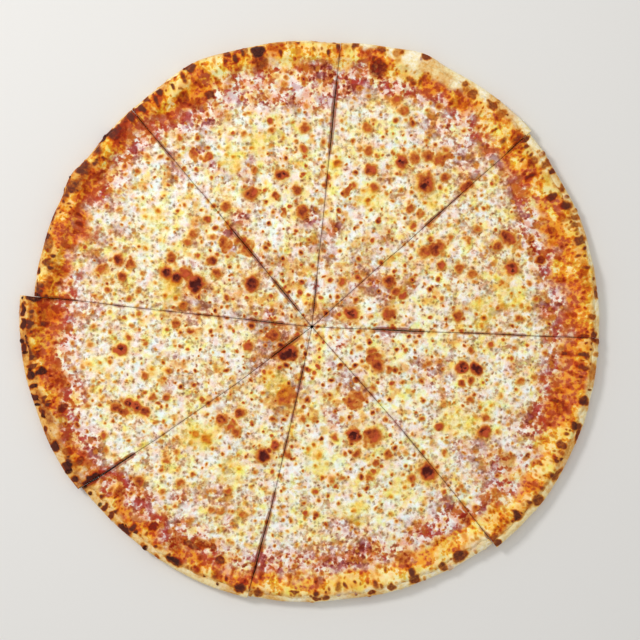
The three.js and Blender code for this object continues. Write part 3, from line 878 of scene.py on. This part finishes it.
def dotted(tree, size, warp):
    """Marks scattered one to about that size, in mm: the distance from the nearest one's middle, as a
    share of the size, and that mark's own random tone."""
    place = add(tree, "TexCoord", {}).outputs["Object"]
    inputs = {"Vector": place, "Scale": 1.6 / (size * METRES), "Detail": 1.0}
    stray = add(tree, "TexNoise", inputs).outputs["Color"]
    stray = add(tree, "VectorMath", {0: stray, 1: (0.5, 0.5, 0.5)}, operation="SUBTRACT").outputs["Vector"]
    inputs = {0: stray, "Scale": warp * size * METRES}
    stray = add(tree, "VectorMath", inputs, operation="SCALE").outputs["Vector"]
    place = add(tree, "VectorMath", {0: place, 1: stray}, operation="ADD").outputs["Vector"]
    inputs = {"Vector": place, "Scale": 1 / (size * METRES)}
    marks = add(tree, "TexVoronoi", inputs, voronoi_dimensions="2D")
    tone = add(tree, "SeparateColor", {"Color": marks.outputs["Color"]}).outputs[0]
    return marks.outputs["Distance"], tone


melted_cheese, tree, shader = new_finish("melted_cheese", Specular_IOR_Level=0.1)

# the white cheese, with tints and small golden spots
specks = grain(tree, 1.1, 2, 0.6)
curd = grain(tree, 3.4, 3, 0.55)
clots = grain(tree, 8, 3)
patches = grain(tree, 26, 3)
uneven = total(tree, clots, patches)
curd = work_out(tree, "ADD", curd, spread(tree, uneven, 0.75, 1.25, -0.22, 0.22))
steps = [
    (0.24, (200, 136, 100)),
    (0.32, (234, 192, 156)),
    (0.4, (251, 238, 212)),
    (0.47, (255, 253, 238)),
    (0.58, (255, 255, 255)),
]
field = by_heat(tree, curd, steps)
tint = grain(tree, 9, 3)
field = over(tree, between(tree, tint, 0.48, 0.35, 0.6), field, paint(248, 248, 246))
field = over(tree, between(tree, tint, 0.51, 0.67, 0.7), field, paint(255, 242, 136))
middle, tone = dotted(tree, 5.0, 0.8)
halo = times(tree, between(tree, middle, 0.62, 0.25, 0.5), between(tree, tone, 0.3, 0.6))
field = over(tree, halo, field, paint(248, 206, 172))
mark = times(tree, between(tree, middle, 0.42, 0.0), between(tree, tone, 0.25, 0.85))
mark = times(tree, mark, between(tree, grain(tree, 1.8, 1), 0.3, 0.6))
field = over(tree, mark, field, over(tree, tone, paint(128, 96, 44), paint(150, 76, 38)))
middle, tone = dotted(tree, 3.2, 0.9)
mark = times(tree, between(tree, middle, 0.55, 0.0, 0.75), between(tree, tone, 0.3, 0.95))
field = over(tree, mark, field, paint(136, 104, 66))

# the lace, oil and sauce
net = work_out(tree, "ADD", curd, spread(tree, middle, 0.1, 0.6, -0.16, 0.08))
steps = [
    (0.29, (128, 36, 28)),
    (0.38, (172, 78, 62)),
    (0.46, (202, 126, 112)),
    (0.53, (234, 196, 182)),
    (0.6, (255, 250, 246)),
]
lace = by_heat(tree, net, steps)
lace = over(tree, between(tree, tint, 0.49, 0.62, 0.5), lace, paint(226, 134, 70))
lace = over(tree, between(tree, tint, 0.49, 0.36, 0.55), lace, paint(190, 122, 134))
colour = over(tree, reading(tree, "thin"), field, lace)
oil_share = times(tree, reading(tree, "oil"), between(tree, clots, 0.25, 0.55))
colour = over(tree, times(tree, oil_share, 0.55), colour, paint(255, 236, 92))
colour = over(tree, between(tree, specks, 0.6, 0.76, 0.4), colour, paint(120, 100, 74))
red = times(tree, reading(tree, "red"), between(tree, curd, 0.62, 0.4))
reds = over(tree, between(tree, tint, 0.44, 0.6), paint(186, 56, 38), paint(204, 108, 44))
colour = over(tree, times(tree, red, 0.85), colour, reds)

# the golden band at the rim
ripe = total(tree, reading(tree, "ripe"), spread(tree, net, 0.26, 0.66, -0.5, 0.45))
steps = [
    (0.0, (192, 76, 36)),
    (0.2, (220, 112, 34)),
    (0.42, (234, 146, 32)),
    (0.65, (244, 178, 42)),
    (0.85, (250, 204, 78)),
    (1.0, (254, 240, 180)),
]
gold = by_heat(tree, ripe, steps)
colour = over(tree, times(tree, reading(tree, "golden"), 0.94), colour, gold)
yellow_blue = [(0.32, (246, 252, 255)), (0.48, (255, 255, 250)), (0.68, (255, 251, 186))]
red_green = [(0.32, (240, 255, 244)), (0.5, (255, 254, 252)), (0.66, (255, 228, 218))]
colour = tinged(tree, colour, 10, yellow_blue)
colour = tinged(tree, colour, 8, red_green)
colour = over(tree, reading(tree, "doughy"), colour, dough_colour(tree))

# the blisters, browned and in oil amber
uneven = spread(tree, grain(tree, 2.8, 3, 0.65), 0.32, 0.68, 0.82, 1.22)
heat = times(tree, reading(tree, "browned"), uneven)
steps = [
    (0.0, (250, 226, 140)),
    (0.14, (240, 200, 96)),
    (0.28, (230, 166, 66)),
    (0.42, (212, 132, 46)),
    (0.57, (190, 94, 34)),
    (0.72, (156, 62, 26)),
    (0.86, (116, 38, 20)),
    (1.0, (78, 22, 16)),
]
browned = by_heat(tree, heat, steps)
blush = times(tree, between(tree, heat, 0.5, 0.7), between(tree, heat, 0.96, 0.84, 0.8))
blush = times(tree, blush, between(tree, grain(tree, 10, 2), 0.5, 0.6, 0.8))
browned = over(tree, blush, browned, paint(208, 88, 48))
steps = [
    (0.0, (252, 232, 120)),
    (0.28, (238, 180, 44)),
    (0.5, (222, 130, 22)),
    (0.75, (172, 74, 18)),
    (1.0, (88, 28, 14)),
]
amber = by_heat(tree, heat, steps)
browned = over(tree, times(tree, reading(tree, "oil"), 0.85), browned, amber)
steps = [
    (0.0, (255, 255, 255)),
    (0.14, (254, 244, 214)),
    (0.28, (248, 216, 156)),
    (0.5, (230, 170, 104)),
]
halo = by_heat(tree, heat, steps)
colour = stained(tree, colour, halo)
colour = over(tree, between(tree, heat, 0.2, 0.55), colour, browned)
colour = singed(tree, colour)

# the cuts, in dark red-brown that is partly sauce dragged up and partly painted shade of the gap between
# slices, the char and the gloss
cut_sauce_and_shade = work_out(tree, "ADD", reading(tree, "cut"), times(tree, clots, 0.8))
cut_sauce_and_shade = between(tree, cut_sauce_and_shade, 0.62, 1.2)
colour = over(tree, cut_sauce_and_shade, colour, paint(140, 44, 14))
char = between(tree, times(tree, reading(tree, "char"), specks), 0.1, 0.5, 0.9)
colour = over(tree, char, colour, paint(54, 22, 18))
tree.links.new(colour, shader.inputs["Base Color"])
gloss = spread(tree, oil_share, 0.0, 1.0, 0.52, 0.26)
skin = total(tree, specks, curd)
rough_and_bump(tree, shader, gloss, skin, 0.5)

for number in range(8):
    node = f"slice_{number + 1}_cheese"
    blank = wedge(CHEESE_STEPS, CHEESE_UNDER_STEPS)
    layer(f"cheese_{number + 1}", number, blank, shape_cheese, melted_cheese, node)

# ---- the crumbs ----
# Dark crumbs of burnt flour and cheese, baked onto the sheet of cheese. They are small rough lumps,
# each pressed onto a point of the cheese.

CRUMBS = 1200
CRUMBS_REACH = 183
LEVEL = 0.7  # how far up a face looks, where a crumb can lie: 1 is straight up

lump = bmesh.new()
bmesh.ops.create_icosphere(lump, subdivisions=1, radius=METRES)
mesh = bpy.data.meshes.new("crumbs")
lump.to_mesh(mesh)
corners = np.array([vert.co for vert in lump.verts])
many = bmesh.new()
for _ in range(CRUMBS):
    many.from_mesh(mesh)
many.to_mesh(mesh)
crumb_places = []
for number in range(8):
    sheet = bpy.data.objects[f"cheese_{number + 1}"].data
    places = rows_of(sheet, "co")
    radius = np.hypot(places[:, 0], places[:, 1])
    fit = (rows_of(sheet, "normal")[:, 2] > LEVEL) & (radius < CRUMBS_REACH * METRES)
    likely = np.where(fit, radius, 0)
    crumb_places.append(places[chance.choice(len(places), CRUMBS // 8, False, likely / likely.sum())])
turns = 2 * np.pi * chance.random(CRUMBS)
sizes = 0.35 + 0.5 * chance.random((CRUMBS, 1)) ** 2
sizes = sizes * (0.8 + 0.6 * chance.random((CRUMBS, 3))) * (1, 1, 0.5)
points = corners * sizes[:, None] * (0.8 + 0.4 * chance.random((CRUMBS, len(corners), 1)))
across = points[..., 0] * np.cos(turns)[:, None] - points[..., 1] * np.sin(turns)[:, None]
along = points[..., 0] * np.sin(turns)[:, None] + points[..., 1] * np.cos(turns)[:, None]
points = np.stack([across, along, points[..., 2]], -1) + np.concatenate(crumb_places)[:, None]
mesh.vertices.foreach_set("co", points.astype(np.float32).ravel())
mesh.update()

burnt_crumb, tree, shader = new_finish("burnt_crumb", Specular_IOR_Level=0.2)
colour = over(tree, between(tree, grain(tree, 2.5, 2), 0.35, 0.65), paint(104, 70, 40), paint(146, 88, 50))
tree.links.new(colour, shader.inputs["Base Color"])
rough_and_bump(tree, shader, spread(tree, grain(tree, 2), 0.3, 0.7, 0.6, 0.9), grain(tree, 0.4, 3), 0.15)
mesh.materials.append(burnt_crumb)
crumbs = bpy.data.objects.new("crumbs", mesh)
bpy.context.scene.collection.objects.link(crumbs)
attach(crumbs, "root")

# ---- the table and the light ----
# A pale table, a large soft light over the pizza and a smaller one from the upper left. The camera
# looks straight down, as it did for the photo.

bpy.ops.mesh.primitive_plane_add(size=6)
table = bpy.context.object
table.name = "table"
pale_table = new_finish("pale_table", Base_Color=paint(226, 224, 220), Roughness=0.8)[0]
table.data.materials.append(pale_table)
table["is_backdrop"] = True

world = bpy.data.worlds.new("studio")
bpy.context.scene.world = world
world.use_nodes = True
world.node_tree.nodes["Background"].inputs["Color"].default_value = (1, 1, 1, 1)
world.node_tree.nodes["Background"].inputs["Strength"].default_value = 0.6

for name, place, size, power in (("over", (0.1, 0.35, 1.3), 1.0, 1.9), ("key", (-0.8, 0.65, 1.1), 0.3, 9.8)):
    light = bpy.data.lights.new(name, "AREA")
    light.size = size
    light.energy = power
    lamp = bpy.data.objects.new(name, light)
    lamp.location = place
    bpy.context.scene.collection.objects.link(lamp)
    lamp.rotation_euler = (-lamp.location).to_track_quat("-Z", "Y").to_euler()

PHOTO_WIDTH = 0.4536  # metres across the frame, at the rim
PHOTO_MIDDLE = (0.0064, 0.0014)
LENS, SENSOR = 85, 36
camera = bpy.data.objects.new("camera", bpy.data.cameras.new("camera"))
camera.data.lens = LENS
camera.data.sensor_width = SENSOR
camera.location = (*PHOTO_MIDDLE, RIM_HEIGHT / 2 * METRES + PHOTO_WIDTH * LENS / SENSOR)
bpy.context.scene.collection.objects.link(camera)
bpy.context.scene.camera = camera
bpy.context.scene.view_settings.view_transform = "Standard"

corners = {"cad": CAD_BOX, "visual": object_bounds()}
